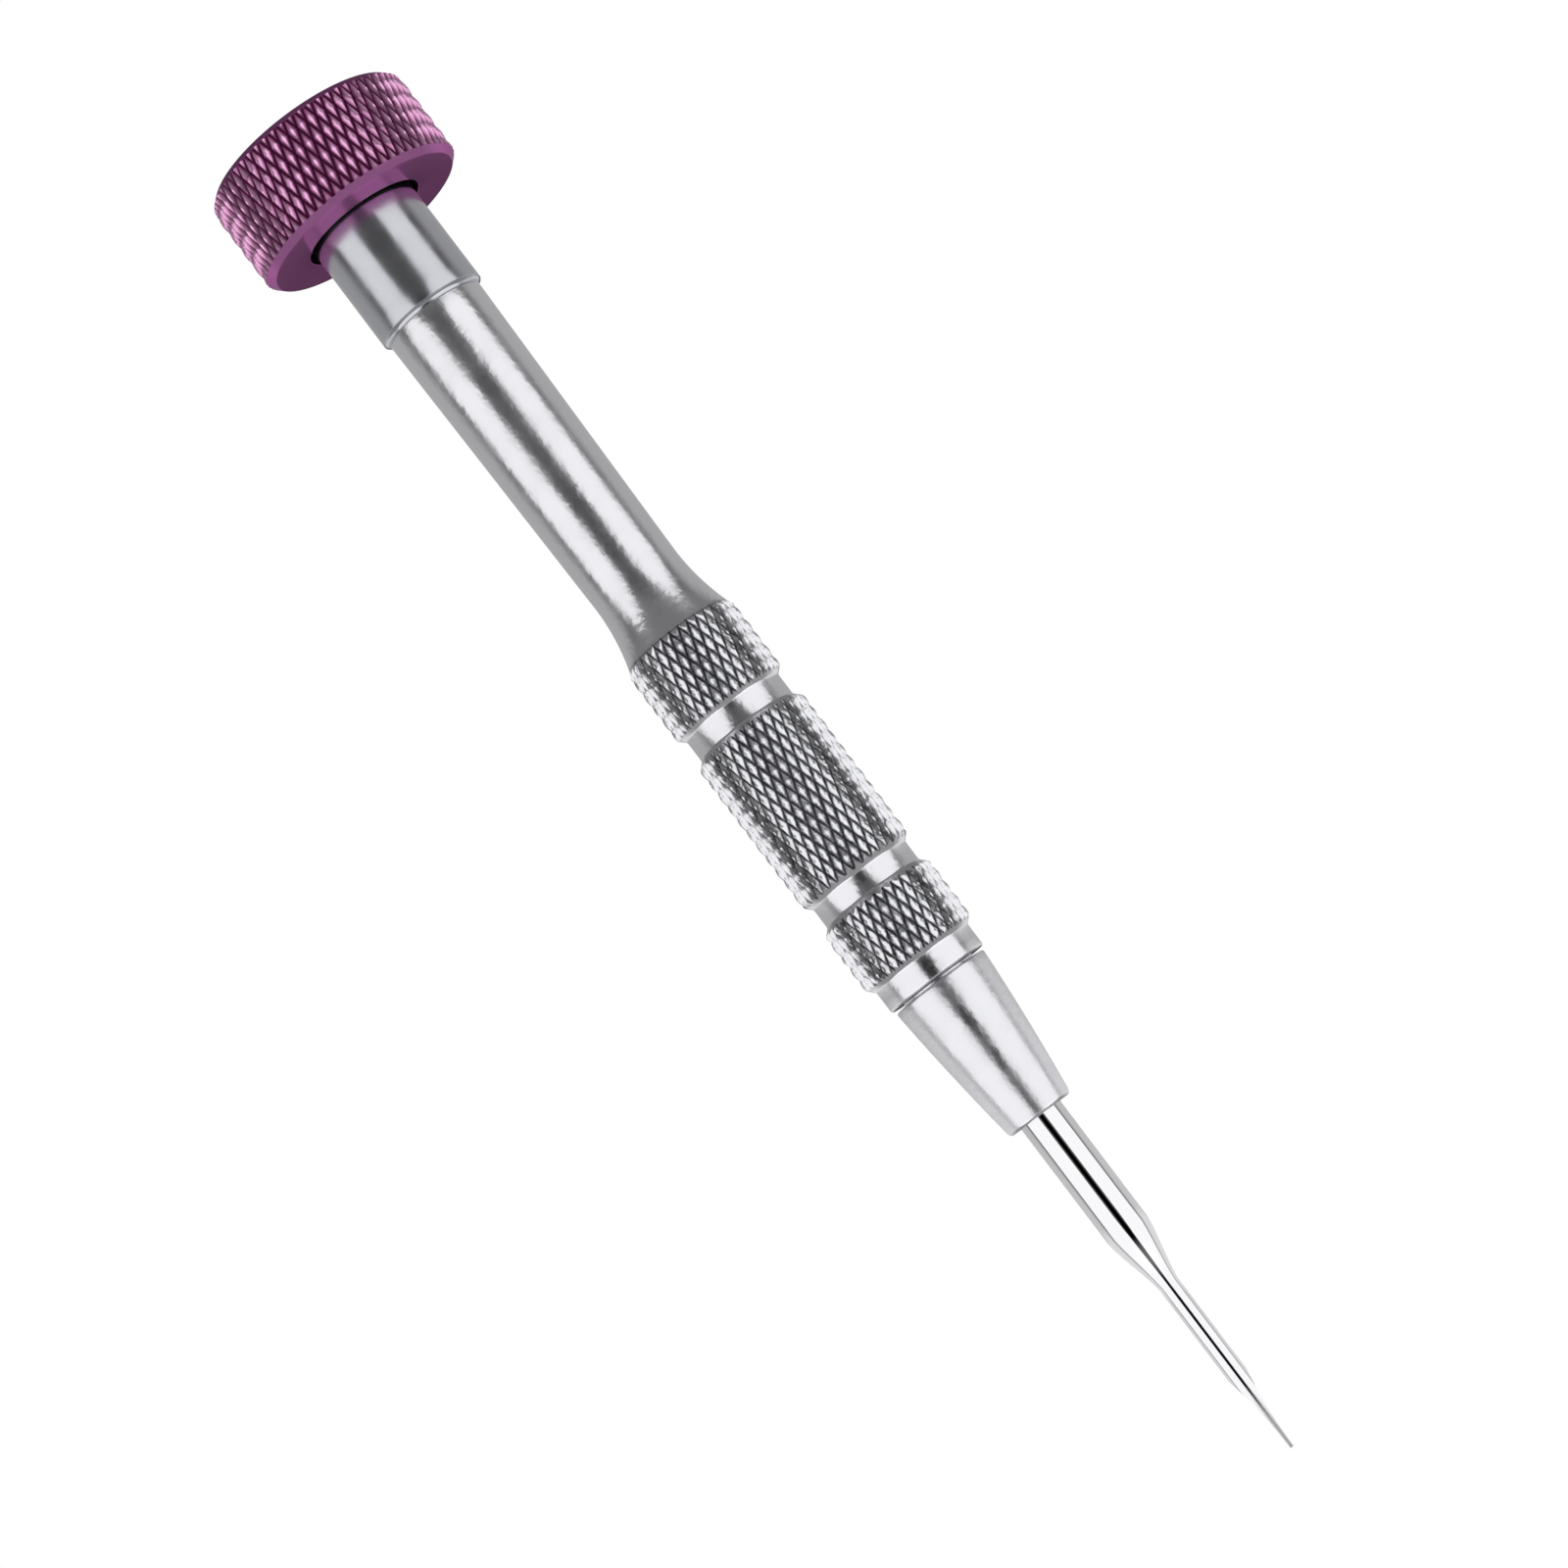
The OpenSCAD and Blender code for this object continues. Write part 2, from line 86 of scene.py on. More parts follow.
# Places that the CAD frame gives
LOW, HIGH = 0, 1
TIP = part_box("blade")[LOW].z
BLADE_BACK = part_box("blade")[HIGH].z
SPIGOT_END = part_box("handle_barrel")[LOW].z
COLLAR_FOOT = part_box("handle_barrel")[HIGH].z
STUB_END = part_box("end_collar")[LOW].z
JOURNAL_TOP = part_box("end_collar")[HIGH].z
BEARING_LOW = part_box("bearing_outer_ring")[LOW].z
BEARING_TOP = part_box("bearing_outer_ring")[HIGH].z
BEARING_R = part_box("bearing_outer_ring")[HIGH].y
COLLAR_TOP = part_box("bearing_shim")[LOW].z
CAP_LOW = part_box("swivel_cap")[LOW].z
CAP_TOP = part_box("swivel_cap")[HIGH].z
CAP_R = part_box("swivel_cap")[HIGH].x
DISC_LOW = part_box("cap_disc")[LOW].z
DISC_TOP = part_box("cap_disc")[HIGH].z
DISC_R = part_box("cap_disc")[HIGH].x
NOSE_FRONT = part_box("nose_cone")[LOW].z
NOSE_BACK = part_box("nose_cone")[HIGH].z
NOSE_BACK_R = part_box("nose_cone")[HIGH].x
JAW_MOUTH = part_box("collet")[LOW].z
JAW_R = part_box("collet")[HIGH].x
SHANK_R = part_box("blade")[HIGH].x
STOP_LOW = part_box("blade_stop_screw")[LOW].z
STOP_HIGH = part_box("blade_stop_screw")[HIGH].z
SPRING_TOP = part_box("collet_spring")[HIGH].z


class BarrelSizes(bpy.types.PropertyGroup):
    """The handle barrel."""

    grip_d: length("Grip diameter", "Across the crests of the knurled bands", 9.5)
    seat_d: length("Seat diameter", "Across the smooth band in front of the knurl", 8.3)
    groove_d: length("Groove diameter", "Across the two grip grooves", 8.34)
    seat_len: length("Seat length", "Length of the smooth band below the origin", 1.75)
    front_knurl: length("Front knurl", "Length of the front knurled band", 5.9)
    front_groove: length("Front groove", "Width of the front groove", 1.65)
    mid_knurl: length("Middle knurl", "Length of the middle knurled band", 13.6)
    rear_groove: length("Rear groove", "Width of the rear groove", 1.8)
    rear_knurl: length("Rear knurl", "Length of the rear knurled band", 6.7)
    bevel: length("Knurl bevel", "Axial length of the bevel at each band's ends", 0.6)
    flare_d: length("Flare diameter", "Where the flare leaves the rear band", 8.9)
    flare_r: length("Flare radius", "Radius of the flare's hollow curve", 18.0)
    waist_d: length("Waist diameter", "Smallest diameter of the waist", 7.3)
    waist_top_d: length("Waist top diameter", "Where the waist meets the collar", 8.1)
    knurl_depth: length("Knurl depth", "Depth of the diamonds", 0.34)
    knurl_pitch: length("Knurl pitch", "Length of one diamond along the handle", 2.29)
    knurl_starts: IntProperty(
        name="Knurl starts", description="Diamonds round the handle", default=36, min=12, max=90
    )


class CapSizes(bpy.types.PropertyGroup):
    """The swivel cap and the collar below it."""

    collar_d: length("Collar diameter", "Across the end collar", 8.85)
    edge: length("Cap edge", "Bevel on the cap's two edges", 0.6)
    knurl_depth: length("Knurl depth", "Depth of the diamonds", 0.38)
    knurl_pitch: length("Knurl pitch", "Length of one diamond along the cap", 2.85)
    knurl_starts: IntProperty(
        name="Knurl starts", description="Diamonds round the cap", default=63, min=12, max=120
    )


class NoseSizes(bpy.types.PropertyGroup):
    """The nose cone and the blade."""

    front_d: length("Nose front", "Diameter of the cone at its front face", 5.4)
    bow: length("Nose bow", "How far the cone's side stands out of a straight line", 0.1)
    shank_show: length("Shank", "Length of shank in front of the nose", 10.3)
    neck_len: length("Neck", "Length of the blade's taper", 4.9)
    rod_d: length("Rod diameter", "Diameter of the thin rod", 1.6)
    grind_len: length("Grind", "Length of the ground tip", 6.25)
    tip_t: length("Tip thickness", "Thickness of the edge", 0.3)


class Finishes(bpy.types.PropertyGroup):
    """The colours of the pieces."""

    aluminium: colour("Aluminium", "Turned barrel and nose", "#e6e6ea")
    # painted shade: a grey that darkens the bottom of the handle's knurl grooves
    groove_shade: colour("Knurl roots", "Bottom of the knurl's grooves", "#85868b")
    collar: colour("Collar", "Turned end collar", "#c8c9cf")
    anodised: colour("Anodised", "Dyed skin of the cap", "#a5679a")
    # painted shade: a deep purple that darkens the bottom of the cap's knurl grooves
    anodised_root_shade: colour("Anodised roots", "Bottom of the cap's knurl", "#701a58")
    # painted highlight: a pale pink that lightens the cap's knurl towards its crests
    anodised_crest_highlight: colour("Anodised knurl", "Thinner skin on the cap's diamonds", "#f3b8e2")
    # painted shade: a nearly black colour on the inner wall of the cap's mouth
    bore: colour("Dark bore", "Unlit skin inside the cap's mouth", "#1d0a19")
    blade: colour("Blade", "Polished tool steel", "#eeeef0")
    brass: colour("Brass", "Collet and cage", "#c9a04e")
    spring: colour("Bright steel", "Bearing, shields and spring", "#c9cacd")
    black: colour("Black steel", "Screws and pin", "#3a3b3f")


# ---------------------------------------------------------------- modelling


def clear_selection():
    """Leaves object mode with nothing selected, so that an operator acts on the new piece alone."""
    if bpy.context.object and bpy.context.object.mode != "OBJECT":
        bpy.ops.object.mode_set(mode="OBJECT")
    bpy.ops.object.select_all(action="DESELECT")


def activate(piece):
    """Selects one piece and makes it the one that operators work on."""
    clear_selection()
    piece.select_set(True)
    bpy.context.view_layer.objects.active = piece


def eased(outline, size, loop=False):
    """An outline with each sharp corner rounded over a short way on both sides."""
    done = []
    last = len(outline) - 1
    for i, (r, z) in enumerate(outline):
        if not loop and i in (0, last):
            done.append((r, z))
            continue
        here = Vector((r, z))
        back = Vector(outline[i - 1]) - here
        ahead = Vector(outline[(i + 1) % len(outline)]) - here
        turn_angle = math.pi - back.angle(ahead)
        if turn_angle < math.radians(15):
            done.append((r, z))
            continue
        reach = min(size, 0.4 * back.length, 0.4 * ahead.length)
        start = here + back.normalized() * reach
        end = here + ahead.normalized() * reach
        parts = 3 if turn_angle > math.radians(50) else 2
        for k in range(parts + 1):
            t = k / parts
            point = start * (1 - t) ** 2 + here * 2 * t * (1 - t) + end * t * t
            done.append((point.x, point.y))
    return done


def fine(outline, step, loop=False):
    """An outline with no piece of it longer than a step, so that a long side shades evenly."""
    done = []
    pairs = list(zip(outline, outline[1:] + outline[:1]))
    for (r0, z0), (r1, z1) in pairs if loop else pairs[:-1]:
        parts = max(1, math.ceil(math.hypot(r1 - r0, z1 - z0) / step))
        done += [(r0 + (r1 - r0) * k / parts, z0 + (z1 - z0) * k / parts) for k in range(parts)]
    return done if loop else done + [outline[-1]]


def turn_piece(name, outline, loop=False, around=AROUND, edge=EDGE):
    """Turns an outline of (radius, height) points about the axis, as a lathe does: a ring is
    extruded and scaled from one point to the next. An open outline is closed with a flat face at
    each end."""
    points = fine(eased(outline, edge, loop), LONGEST, loop)
    if loop:
        points = points + points[:1]
    clear_selection()
    r, z = points[0]
    bpy.ops.mesh.primitive_circle_add(vertices=around, radius=r, location=(0, 0, z))
    piece = bpy.context.object
    piece.name = name
    piece.data.name = name
    bpy.ops.object.transform_apply(location=True, rotation=True, scale=True)
    bpy.ops.object.mode_set(mode="EDIT")
    bpy.ops.mesh.select_all(action="SELECT")
    for next_r, next_z in points[1:]:
        bpy.ops.mesh.extrude_edges_move(TRANSFORM_OT_translate={"value": (0, 0, next_z - z)})
        grow = next_r / r
        bpy.ops.transform.resize(value=(grow, grow, 1), center_override=(0, 0, next_z))
        r, z = next_r, next_z
    bpy.ops.mesh.select_all(action="SELECT")
    if loop:
        bpy.ops.mesh.remove_doubles(threshold=MICRON)
    else:
        bpy.ops.mesh.fill_holes(sides=0)
    bpy.ops.mesh.select_all(action="SELECT")
    bpy.ops.mesh.normals_make_consistent(inside=False)
    bpy.ops.object.mode_set(mode="OBJECT")
    return piece


def select_points(piece, wanted):
    """Selects the points of a piece in edit mode that pass a test of their place."""
    bpy.ops.mesh.select_mode(type="VERT")
    bpy.ops.mesh.select_all(action="DESELECT")
    bpy.ops.object.mode_set(mode="OBJECT")
    for point in piece.data.vertices:
        point.select = wanted(point.co)
    bpy.ops.object.mode_set(mode="EDIT")


def turned_copy(angle, rise=0.0):
    """Copies the selected faces round the axis and up it."""
    bpy.ops.mesh.duplicate()
    if angle:
        bpy.ops.transform.rotate(value=angle, orient_axis="Z", center_override=(0, 0, 0))
    if rise:
        bpy.ops.transform.translate(value=(0, 0, rise))


def knurled_rod(root_r, crest_r, starts, pitch, low, high, run_low, run_high):
    """A solid rod with a diamond knurl between two heights, and wider shoulders beyond them that
    leave the rest of a blank whole. One diamond is raised in three steps to a blunt point and
    copied round and along; the points stand a little proud, so that the turned blank trims them."""
    half = math.pi / starts
    wide = root_r * math.sin(half)
    tall = pitch / 2
    rise = crest_r - root_r * (1 + math.cos(half)) / 2
    reach = wide * tall / math.hypot(wide, tall)
    # each inset: its share of the reach inward and of the rise outward, and the rest of the rise
    insets, point = ((0.4, 0.5), (0.3, 0.3)), 0.2
    shoulder = 1.3  # how much wider the rod is beyond the knurl
    clear_selection()
    bpy.ops.mesh.primitive_circle_add(
        vertices=4,
        radius=MM,
        fill_type="NGON",
        location=(root_r, 0, low),
        rotation=(0, math.pi / 2, 0),
    )
    rod = bpy.context.object
    bpy.ops.object.transform_apply(location=True, rotation=True, scale=True)
    bpy.ops.object.mode_set(mode="EDIT")
    bpy.ops.mesh.select_all(action="SELECT")
    bpy.ops.transform.resize(value=(1, wide / MM, tall / MM), center_override=(root_r, 0, low))
    select_points(rod, lambda co: abs(co.y) > 0.01 * MM)
    bpy.ops.transform.translate(value=(-root_r * (1 - math.cos(half)), 0, 0))
    bpy.ops.mesh.select_all(action="SELECT")
    bpy.ops.mesh.select_mode(type="FACE")
    for inward, outward in insets:
        bpy.ops.mesh.inset(thickness=inward * reach, depth=outward * rise)
    bpy.ops.mesh.poke(offset=point * rise)
    bpy.ops.mesh.select_all(action="SELECT")
    for _ in range(starts - 1):
        turned_copy(2 * half)
    bpy.ops.mesh.select_all(action="SELECT")
    turned_copy(half, pitch / 2)
    bpy.ops.mesh.select_all(action="SELECT")
    for _ in range(math.ceil((high - low) / pitch) + 1):
        turned_copy(0, pitch)
    bpy.ops.mesh.select_all(action="SELECT")
    bpy.ops.mesh.remove_doubles(threshold=2 * MICRON)
    for height, side in ((low + pitch, "clear_inner"), (high + pitch, "clear_outer")):
        bpy.ops.mesh.select_all(action="SELECT")
        bpy.ops.mesh.bisect(
            plane_co=(0, 0, height),
            plane_no=(0, 0, 1),
            use_fill=True,
            threshold=0.1 * MICRON,
            **{side: True},
        )
    bpy.ops.mesh.select_all(action="SELECT")
    bpy.ops.transform.translate(value=(0, 0, -pitch))
    for height, run in ((low, run_low), (high, run_high)):
        select_points(rod, lambda co: abs(co.z - height) < MICRON)
        bpy.ops.mesh.extrude_region_move(TRANSFORM_OT_translate={"value": (0, 0, 0)})
        bpy.ops.transform.resize(value=(shoulder, shoulder, 1), center_override=(0, 0, height))
        bpy.ops.mesh.extrude_region_move(TRANSFORM_OT_translate={"value": (0, 0, run - height)})
    bpy.ops.mesh.select_all(action="SELECT")
    bpy.ops.mesh.normals_make_consistent(inside=False)
    bpy.ops.object.mode_set(mode="OBJECT")
    return rod


def machine(piece, tool, operation):
    """Cuts a piece with another solid, which is used up."""
    activate(piece)
    step = piece.modifiers.new("machining", "BOOLEAN")
    step.object = tool
    step.operation = operation
    step.solver = "EXACT"
    bpy.ops.object.modifier_apply(modifier=step.name)
    if not piece.data.polygons:
        raise RuntimeError(f"{piece.name} came out empty")
    bpy.data.objects.remove(tool)


def finish_piece(piece, body, slot, materials, *replaced):
    """Shades a piece, gives it its finish and sets it on its body in place of the CAD nodes."""
    activate(piece)
    bpy.ops.object.shade_smooth_by_angle(angle=SMOOTH_ANGLE)
    for material in materials:
        piece.data.materials.append(material)
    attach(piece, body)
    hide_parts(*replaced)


# ---------------------------------------------------------------- materials


def add_node(tree, kind, settings=None, inputs=None):
    """Adds a node, with its own settings, and a value or a link for each input named."""
    made = tree.nodes.new(kind)
    for name, value in (settings or {}).items():
        setattr(made, name, value)
    for name, value in (inputs or {}).items():
        if isinstance(value, bpy.types.NodeSocket):
            tree.links.new(value, made.inputs[name])
        else:
            made.inputs[name].default_value = value
    return made


def ramp(tree, value, start, end, low=0.0, high=1.0, kind="SMOOTHSTEP"):
    """Maps a value from between start and end to between low and high."""
    return add_node(
        tree,
        "ShaderNodeMapRange",
        {"interpolation_type": kind},
        {"Value": value, "From Min": start, "From Max": end, "To Min": low, "To Max": high},
    ).outputs["Result"]


def noise(tree, place, size, detail):
    """An even noise whose lumps are about a given size."""
    return add_node(
        tree,
        "ShaderNodeTexNoise",
        inputs={"Vector": place, "Scale": 1 / size, "Detail": detail},
    ).outputs["Fac"]


def bump(tree, height, distance, **below):
    """Raises a surface by a height map, on top of another bump if one is given."""
    return add_node(
        tree,
        "ShaderNodeBump",
        inputs={"Height": height, "Distance": distance, "Strength": 1.0, **below},
    ).outputs["Normal"]


def lathe_metal(
    name,
    tint,
    roughness,
    line_depth,
    dent_depth,
    dent_size=1.1,
    root=None,
    dye=0.0,
    ground=None,
):
    """A turned metal: fine rings from the tool, faint dents that make the light's edge waver, and
    patches that are a little duller. Depths are in metres and dent_size is in millimetres.

    root: (bottom radius, top radius, colour) of a painted shade in a knurl's grooves, which fades
    from that colour at the bottom to the tint at the top radius.
    dye: how much of the surface is a clear dyed skin on the metal, from 0 to 1.
    ground: (lower height, upper height, roughness) of an end that a wheel has left dull."""
    material = bpy.data.materials.new(name)
    material.use_nodes = True
    tree = material.node_tree
    tree.nodes.clear()
    place = add_node(tree, "ShaderNodeTexCoord").outputs["Object"]
    apart = add_node(tree, "ShaderNodeSeparateXYZ", inputs={"Vector": place})
    flat = add_node(
        tree, "ShaderNodeCombineXYZ", inputs={"X": apart.outputs["X"], "Y": apart.outputs["Y"]}
    )
    radius = add_node(
        tree, "ShaderNodeVectorMath", {"operation": "LENGTH"}, {0: flat.outputs[0]}
    ).outputs["Value"]
    # radius and height alone, so that the pattern runs round the axis as a tool's rings do
    rings = add_node(
        tree, "ShaderNodeCombineXYZ", inputs={"X": radius, "Y": apart.outputs["Z"]}
    )
    lines = noise(tree, rings.outputs[0], TOOL_FEED, 1.0)
    dents = noise(tree, place, dent_size * MM, 3.0)
    scuffs = noise(tree, place, SCUFF, 4.0)
    dull = ramp(tree, scuffs, 0.35, 0.7, roughness * 0.85, roughness * 1.25, "LINEAR")
    if ground:
        lower, upper, ground_roughness = ground
        dull = ramp(tree, apart.outputs["Z"], lower, upper, ground_roughness, dull, "LINEAR")
    dented = bump(tree, dents, dent_depth)
    lined = bump(tree, lines, line_depth, Normal=dented)
    base = (*tint, 1)
    # painted shade: the base colour darkens towards the bottom of a knurl's grooves
    if root:
        root_r, crest_r, painted_root_shade = root
        base = add_node(
            tree,
            "ShaderNodeMix",
            {"data_type": "RGBA"},
            {0: ramp(tree, radius, root_r, crest_r), 6: (*painted_root_shade, 1), 7: (*tint, 1)},
        ).outputs[2]
    shader = add_node(
        tree,
        "ShaderNodeBsdfPrincipled",
        inputs={
            "Base Color": base,
            "Metallic": 1.0 - 0.25 * dye,
            "Roughness": dull,
            "Specular IOR Level": 0.5 - 0.4 * dye,
            "Specular Tint": (*[1 - dye * (1 - c) for c in tint], 1),
            "Coat Weight": 0.15 * dye,
            "Coat Roughness": 0.15,
            "Normal": lined,
        },
    )
    add_node(tree, "ShaderNodeOutputMaterial", inputs={"Surface": shader.outputs[0]})
    return material


def paint_bore_shade(piece, index, bore_r):
    """Gives the faces that look inward round a bore another material, which paints shade on them.
    """
    for face in piece.data.polygons:
        if math.hypot(face.center.x, face.center.y) < bore_r and abs(face.normal.z) < 0.5:
            face.material_index = index


def paint_knurl(piece, index, low, high, root_r):
    """Gives another finish to the knurl's own faces, and leaves the bevels beside it alone."""
    for face in piece.data.polygons:
        out = math.hypot(face.center.x, face.center.y)
        on_rim = low < face.center.z < high and out > root_r - 0.05 * MM
        if on_rim and abs(face.normal.z) < 0.55:
            face.material_index = index


# ---------------------------------------------------------------- pieces


class BuildBarrel(bpy.types.Operator):
    """Turns the handle barrel and knurls its three bands"""

    bl_idname = "screwdriver.barrel"
    bl_label = "Barrel"

    def execute(self, context):
        s = context.scene.barrel_sizes
        c = context.scene.finishes
        seat_r = s.seat_d / 2
        groove_r = s.groove_d / 2
        grip_r = s.grip_d / 2
        seat_face = -s.seat_len - BREAK
        sleeve_bore_r = SHANK_R + 0.58 * MM
        spigot_r = SHANK_R + 1.3 * MM
        tail_bore_r = SHANK_R + 0.05 * MM
        stop_bore_r = 1.52 * MM
        stub_bore_r = 2.52 * MM
        knurl_1 = s.front_knurl
        knurl_2 = knurl_1 + s.front_groove
        groove_2 = knurl_2 + s.mid_knurl
        knurl_3 = groove_2 + s.rear_groove
        flare = knurl_3 + s.rear_knurl
        drop = (s.flare_d - s.waist_d) / 2
        flare_len = math.sqrt(s.flare_r**2 - (s.flare_r - drop) ** 2)
        outline = [
            (stop_bore_r, STOP_HIGH + MM),
            (stop_bore_r, STOP_LOW + CHAMFER),
            (tail_bore_r, STOP_LOW + CHAMFER),
            (tail_bore_r, SPRING_TOP),
            (sleeve_bore_r, SPRING_TOP),
            (sleeve_bore_r, SPIGOT_END),
            (spigot_r - BREAK, SPIGOT_END),
            (spigot_r, SPIGOT_END + BREAK),
        ]
        thread = 0.5 * MM
        thread_depth = 0.22 * MM
        plain = 0.8 * MM  # unthreaded length next to the seat
        z = SPIGOT_END + CHAMFER
        while z < seat_face - plain:
            outline += [(spigot_r, z), (spigot_r - thread_depth, z + thread / 2)]
            z += thread
        outline += [
            (spigot_r, z),
            (spigot_r, seat_face),
            (seat_r - BREAK, seat_face),
            (seat_r, -s.seat_len),
        ]
        for low, high, foot, head in (
            (0, knurl_1, seat_r, groove_r),
            (knurl_2, groove_2, groove_r, groove_r),
            (knurl_3, flare, groove_r, s.flare_d / 2),
        ):
            outline += [
                (foot, low),
                (grip_r, low + s.bevel),
                (grip_r, high - s.bevel),
                (head, high),
            ]
        parts = 16
        for i in range(1, parts + 1):
            rise = flare_len * i / parts
            sag = s.flare_r - math.sqrt(s.flare_r**2 - (flare_len - rise) ** 2)
            outline.append((s.waist_d / 2 + sag, flare + rise))
        outline += [
            (s.waist_top_d / 2, COLLAR_FOOT),
            (stub_bore_r, COLLAR_FOOT),
            (stub_bore_r, STUB_END - MM),
        ]
        # softer corners than the other pieces have
        piece = turn_piece("barrel", outline, edge=0.11 * MM)
        root_r = grip_r - s.knurl_depth
        over = 0.3 * MM  # how far the knurl runs past the outer bands' ends
        rod = knurled_rod(
            root_r,
            grip_r + PROUD,
            s.knurl_starts,
            s.knurl_pitch,
            -over,
            flare + over,
            SPIGOT_END - MM,
            COLLAR_FOOT + MM,
        )
        machine(piece, rod, "INTERSECT")
        # soft lengthwise bands of light whose edges waver, as on worn satin metal
        satin = lathe_metal(
            "satin turned aluminium", c.aluminium, 0.22, 1.5 * MICRON, 26 * MICRON, 0.6
        )
        # bright diamonds with a glint each, and grooves between them greyed by a painted shade
        knurled = lathe_metal(
            "knurled aluminium",
            c.aluminium,
            0.21,
            0.0,
            42 * MICRON,
            0.4,
            # painted shade over the lower part of each groove's depth, fading out below the crests
            root=(root_r, grip_r - 0.55 * s.knurl_depth, c.groove_shade),
        )
        finish_piece(piece, "handle", "turned_aluminium", (satin, knurled), "handle_barrel")
        paint_knurl(piece, 1, 0, flare, root_r)
        return {"FINISHED"}


class BuildCollar(bpy.types.Operator):
    """Turns the end collar with its journal and threaded stub"""

    bl_idname = "screwdriver.collar"
    bl_label = "End collar"

    def execute(self, context):
        s = context.scene.cap_sizes
        c = context.scene.finishes
        r = s.collar_d / 2
        stub_r = 2.5 * MM
        journal_r = 1.98 * MM
        hole_r = 1.02 * MM
        hole_deep = 4.8 * MM
        outline = [
            (stub_r - CHAMFER, STUB_END),
            (stub_r, STUB_END + CHAMFER),
            (stub_r, COLLAR_FOOT),
        ]
        # the foot curves in to the waist's diameter
        fillet = r - context.scene.barrel_sizes.waist_top_d / 2
        steps = 6
        for i in range(steps + 1):
            angle = math.radians(90 * i / steps)
            outline.append((r - fillet * math.cos(angle), COLLAR_FOOT + fillet * math.sin(angle)))
        outline += [
            (r, COLLAR_TOP - BREAK),
            (r - BREAK, COLLAR_TOP),
            (journal_r, COLLAR_TOP),
            (journal_r, JOURNAL_TOP),
            (hole_r, JOURNAL_TOP),
            (hole_r, JOURNAL_TOP - hole_deep),
        ]
        piece = turn_piece("collar", outline)
        # harder, cleaner bands of light than the aluminium's
        steel = lathe_metal("fine turned steel", c.collar, 0.2, 0.8 * MICRON, 8 * MICRON)
        finish_piece(piece, "handle", "collar_steel", (steel,), "end_collar")
        return {"FINISHED"}


class BuildCap(bpy.types.Operator):
    """Turns and knurls the swivel cap and its cover disc"""

    bl_idname = "screwdriver.cap"
    bl_label = "Swivel cap"

    def execute(self, context):
        s = context.scene.cap_sizes
        c = context.scene.finishes
        well_r = BEARING_R - 0.55 * MM  # the shoulder above the bearing
        mouth_r = s.collar_d / 2 + 0.5 * MM  # open round the collar
        outline = [
            (mouth_r, CAP_LOW),
            (CAP_R - s.edge, CAP_LOW),
            (CAP_R, CAP_LOW + s.edge),
            (CAP_R, CAP_TOP - s.edge),
            (CAP_R - s.edge, CAP_TOP),
            (DISC_R, CAP_TOP),
            (DISC_R, DISC_LOW),
            (well_r, DISC_LOW),
            (well_r, BEARING_TOP),
            (BEARING_R, BEARING_TOP),
            (BEARING_R, BEARING_LOW),
            (mouth_r, BEARING_LOW),
        ]
        piece = turn_piece("cap", outline, loop=True, around=4 * s.knurl_starts)
        clear = 2 * MM
        root_r = CAP_R - s.knurl_depth
        rod = knurled_rod(
            root_r,
            CAP_R + PROUD,
            s.knurl_starts,
            s.knurl_pitch,
            CAP_LOW + s.edge - BREAK,
            CAP_TOP - s.edge + BREAK,
            CAP_LOW - clear,
            CAP_TOP + clear,
        )
        machine(piece, rod, "INTERSECT")
        # an even mauve sheen, with the metal's shine dulled by the dyed skin
        smooth = lathe_metal(
            "anodised aluminium", c.anodised, 0.2, 0.5 * MICRON, 4 * MICRON, dye=1.0
        )
        # painted highlight and shade: pale pink crests with a soft glint each, and deep purple
        # between them
        knurled = lathe_metal(
            "knurled anodised aluminium",
            c.anodised_crest_highlight,
            0.11,
            0.0,
            25 * MICRON,
            0.5,
            root=(root_r, CAP_R, c.anodised_root_shade),
            dye=1.0,
        )
        # painted shade: a nearly black ring round the collar, where little light reaches
        dark = lathe_metal("painted bore shade", c.bore, 0.5, 0.5 * MICRON, 2 * MICRON)
        finish_piece(piece, "cap", "purple_anodised", (smooth, knurled, dark), "swivel_cap")
        paint_knurl(piece, 1, CAP_LOW, CAP_TOP, root_r)
        paint_bore_shade(piece, 2, mouth_r + 0.05 * MM)
        groove = 0.1 * MM
        # a broken edge, one turned groove and a small centre mark
        cover = turn_piece(
            "cap_cover",
            [
                (DISC_R, DISC_LOW),
                (DISC_R, DISC_TOP - BREAK),
                (DISC_R - BREAK, DISC_TOP),
                (DISC_R - 0.9 * MM, DISC_TOP),
                (DISC_R - 1.0 * MM, DISC_TOP - groove),
                (DISC_R - 1.25 * MM, DISC_TOP - groove),
                (DISC_R - 1.35 * MM, DISC_TOP),
                (0.5 * MM, DISC_TOP),
                (0.2 * MM, DISC_TOP - 0.15 * MM),
            ],
        )
        # rings that fan the light out from the centre, as a faced disc does
        faced = lathe_metal(
            "faced anodised aluminium", c.anodised, 0.22, 1.5 * MICRON, 3 * MICRON, dye=1.0
        )
        finish_piece(cover, "cap", "purple_anodised", (faced,), "cap_disc")
        return {"FINISHED"}


